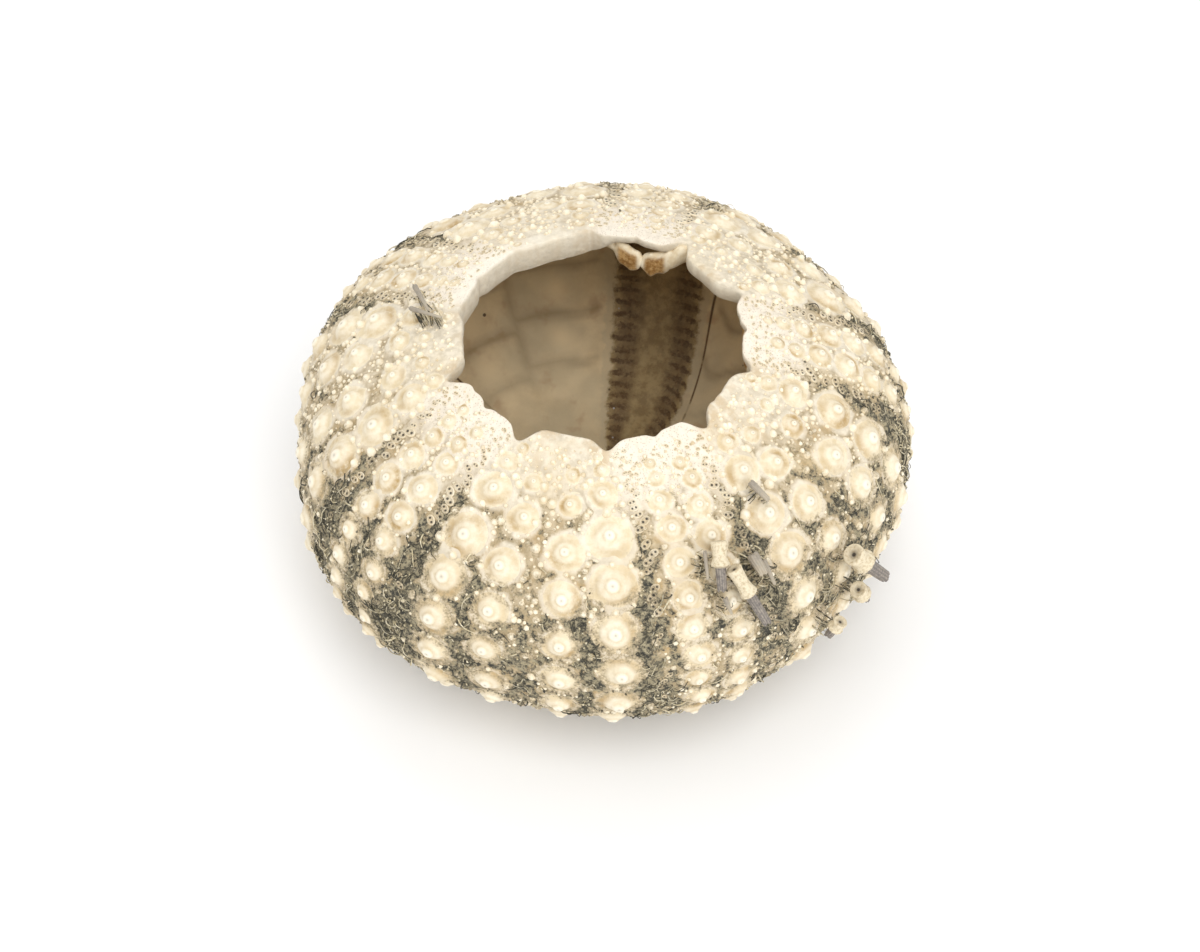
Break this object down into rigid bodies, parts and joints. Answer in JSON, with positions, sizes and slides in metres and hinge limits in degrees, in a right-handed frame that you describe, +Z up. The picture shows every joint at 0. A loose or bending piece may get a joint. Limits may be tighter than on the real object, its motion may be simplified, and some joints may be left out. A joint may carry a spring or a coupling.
{
  "type": "sea urchin shell",
  "caption": "Dried round sea urchin shell lying mouth side up, hollow, with a lobed open mouth and a few broken spines caught on its side.",
  "frame": {"origin": "on the shell's axis, on the surface that its flat apical side rests on", "axes": "+Z up, out of the mouth opening; -Y is the front; +X is to the right seen from the front"},
  "size_m": [0.0447, 0.045, 0.0239],
  "materials": {
    "test": "dry chalky calcite with cream tubercles",
    "spine": "dry calcite, cream base and grey shaft",
    "splinter": "dry grooved calcite",
    "dried_tissue": "dark dried fibres and grit"
  },
  "bodies": {
    "root": {"test": "test", "spine_1": "spine", "spine_2": "spine", "spine_3": "spine", "spine_4": "spine", "spine_5": "spine", "splinter_1": "splinter", "splinter_2": "splinter", "splinter_3": "splinter", "splinter_4": "splinter", "splinter_5": "splinter", "splinter_6": "splinter", "splinter_7": "splinter"}
  },
  "joints": []
}
